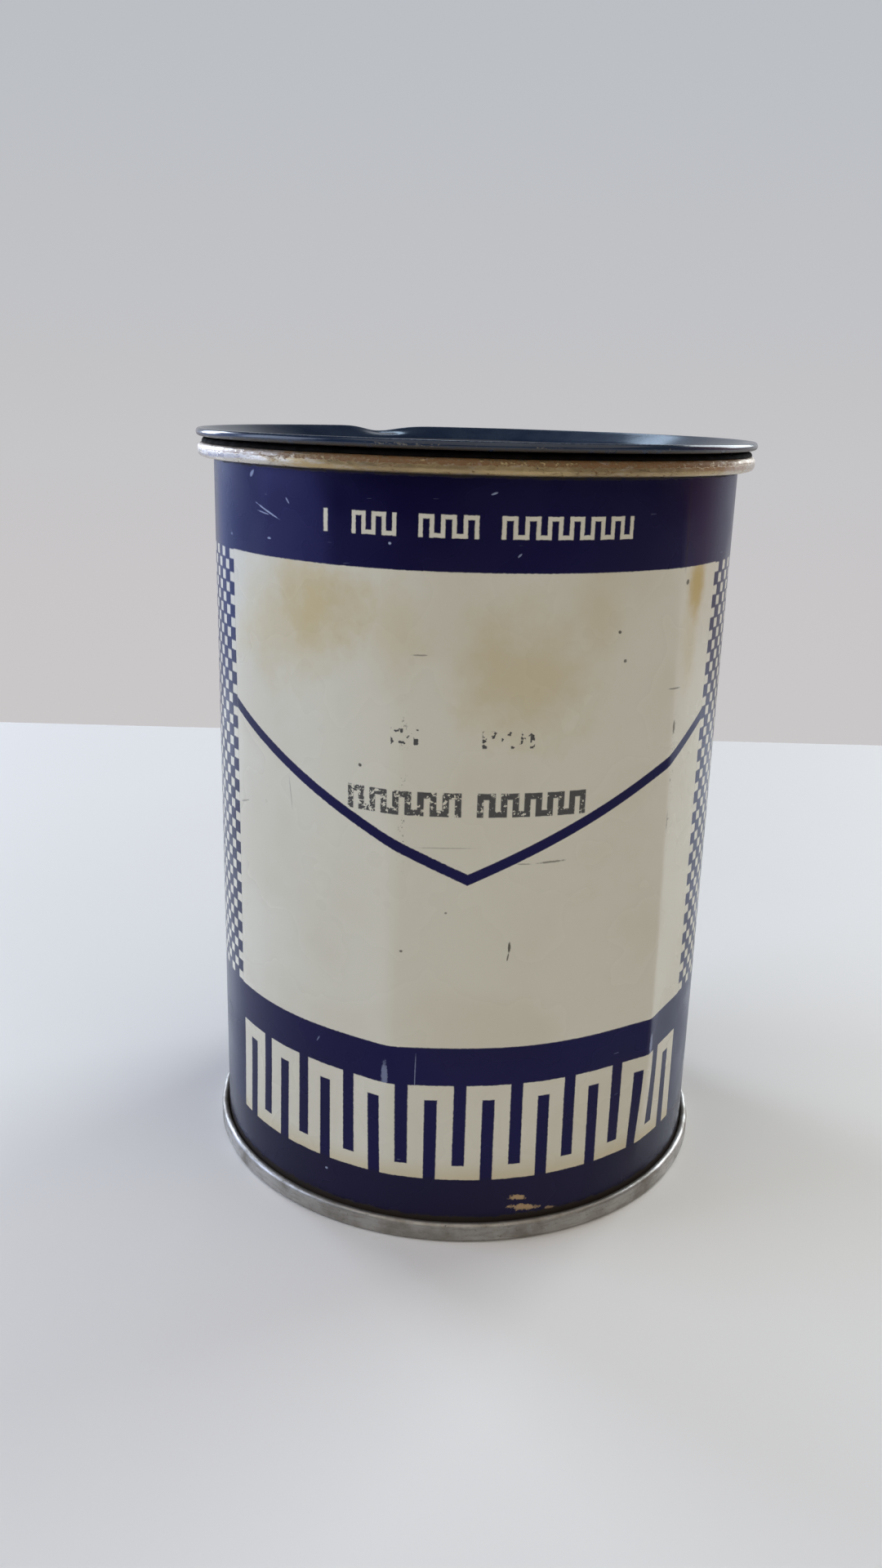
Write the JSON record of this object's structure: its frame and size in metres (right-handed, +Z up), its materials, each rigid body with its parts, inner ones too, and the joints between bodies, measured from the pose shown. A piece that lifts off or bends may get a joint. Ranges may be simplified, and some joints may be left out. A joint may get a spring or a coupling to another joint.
{
  "type": "press-lid grease tin",
  "caption": "Round tinplate grease tin with a folded side seam, a double-seamed bottom, a gold-lacquered friction ring and a dished press-in lid that lifts off.",
  "frame": {"origin": "centre of the base, on the surface that the tin stands on", "axes": "+Z up the tin's axis, -Y out of the printed front, +X through the side seam"},
  "size_m": [0.0894, 0.0894, 0.122],
  "materials": {
    "printed_tinplate": "indigo and cream printed tinplate under a gloss varnish, worn and stained",
    "plain_tinplate": "bare tinplate, dulled and lightly pitted",
    "gold_lacquer": "gold lacquer on tinplate, rubbed through and rust-spotted",
    "lid_enamel": "dark slate-blue enamel on tinplate, semi-gloss, chipped on the curl",
    "solder": "dull grey tin-lead solder",
    "seam_compound": "matt dark sealing compound"
  },
  "bodies": {
    "tin": {"body_shell": "printed_tinplate", "side_seam_solder": "solder", "bottom_end": "plain_tinplate", "bottom_seam_compound": "seam_compound", "friction_ring": "gold_lacquer", "ring_seam_compound": "seam_compound"},
    "press_lid": {"lid": "lid_enamel"}
  },
  "joints": [
    {"name": "lid_lift", "type": "slide", "parent": "tin", "child": "press_lid", "axis": [0, 0, 1], "range_m": [0, 0.06]}
  ]
}
